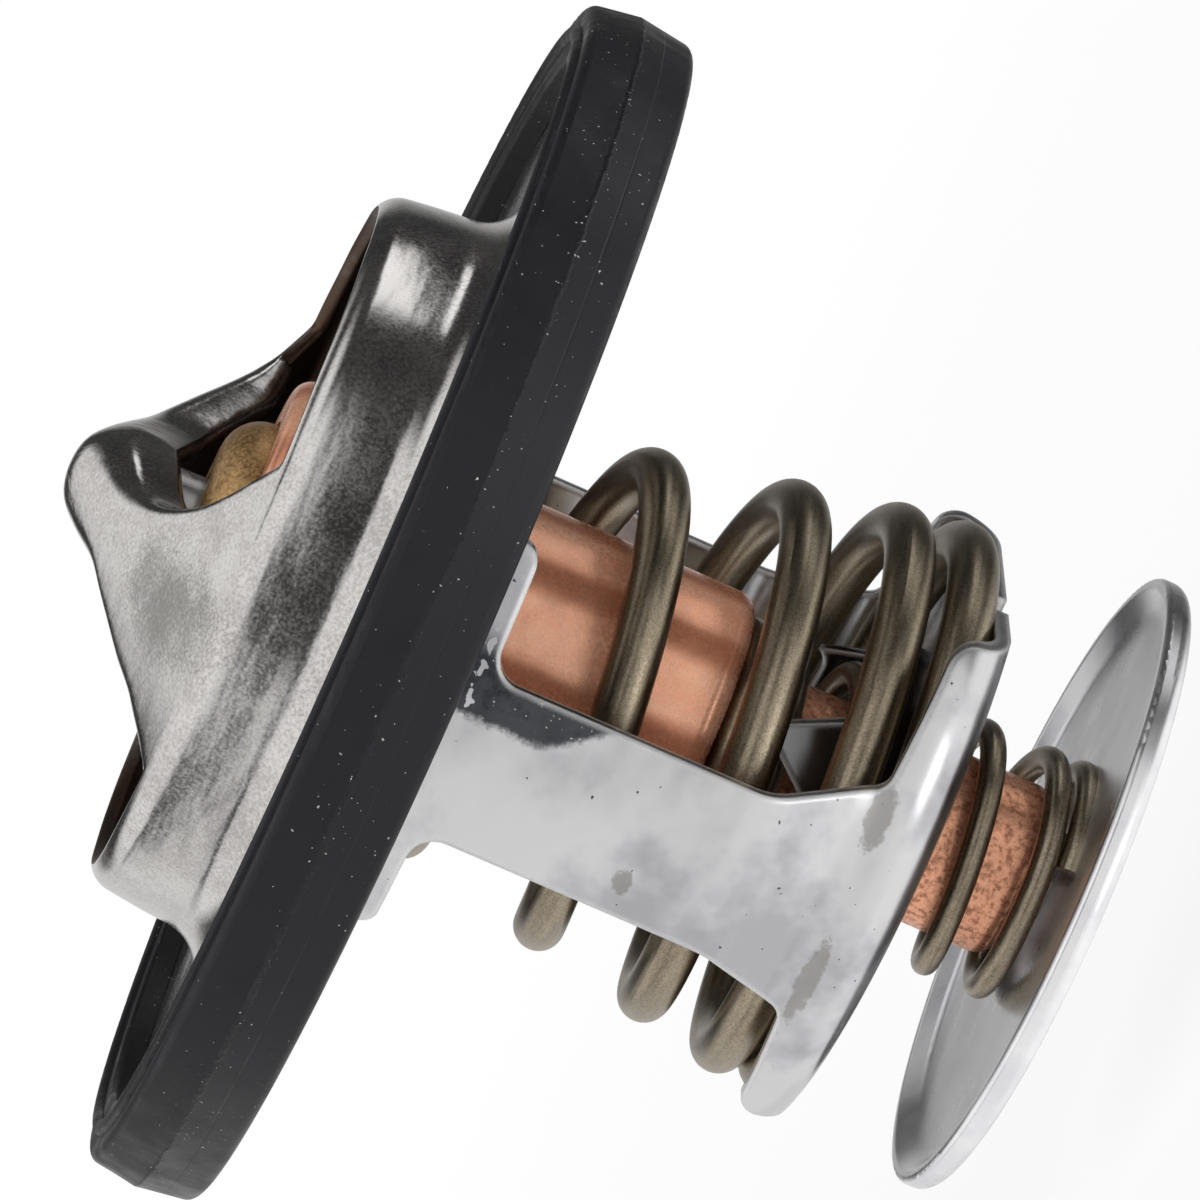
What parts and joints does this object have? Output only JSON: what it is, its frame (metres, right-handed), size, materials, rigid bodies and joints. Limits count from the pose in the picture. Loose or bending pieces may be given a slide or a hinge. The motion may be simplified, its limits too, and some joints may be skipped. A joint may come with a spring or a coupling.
{
  "type": "engine thermostat",
  "caption": "Bypass-type engine coolant thermostat: drawn steel frame with rubber ring seal, wax element, main valve on a tapered coil spring, and a sprung bypass disc on its tail.",
  "frame": {"origin": "on the axis at the flat end of the tail pin's head, the lowest point of the part", "axes": "+Z along the axis from the tail to the nose; the bridge legs and the lower arms lie along Y, the coolant windows along X"},
  "size_m": [0.078, 0.078, 0.0678],
  "materials": {
    "frame_steel": "satin, drawn and tumbled",
    "strip_steel": "bright rolled sheet",
    "disc_steel": "polished",
    "piston_steel": "ground",
    "valve_steel": "satin",
    "seal_rubber": "semi-gloss moulded",
    "inner_rubber": "matte moulded",
    "guide_brass": "turned, dull",
    "cup_copper": "satin drawn copper",
    "tail_copper": "mottled copper",
    "wax": "copper-filled wax",
    "spring_wire": "oil-tempered brown"
  },
  "bodies": {
    "frame": {"upper_frame": "frame_steel", "lower_frame": "strip_steel", "rubber_seal": "seal_rubber", "piston": "piston_steel", "main_spring": "spring_wire"},
    "element": {"piston_guide": "guide_brass", "piston_wiper": "inner_rubber", "support_washer": "valve_steel", "rubber_boot": "inner_rubber", "wax_charge": "wax", "wax_cup": "cup_copper", "main_valve": "valve_steel", "valve_seal": "inner_rubber", "tail_sleeve": "tail_copper", "tail_pin": "piston_steel", "bypass_spring": "spring_wire"},
    "bypass": {"bypass_disc": "disc_steel"}
  },
  "joints": [
    {"name": "valve_lift", "type": "slide", "parent": "frame", "child": "element", "axis": [0, 0, -1], "range_m": [0, 0.008], "stiffness_N_per_m": 800, "springref_m": -0.006, "deforming": ["main_spring"]},
    {"name": "bypass_slide", "type": "slide", "parent": "element", "child": "bypass", "axis": [0, 0, 1], "range_m": [0, 0.0014], "stiffness_N_per_m": 300, "springref_m": -0.002, "deforming": ["bypass_spring"]}
  ]
}
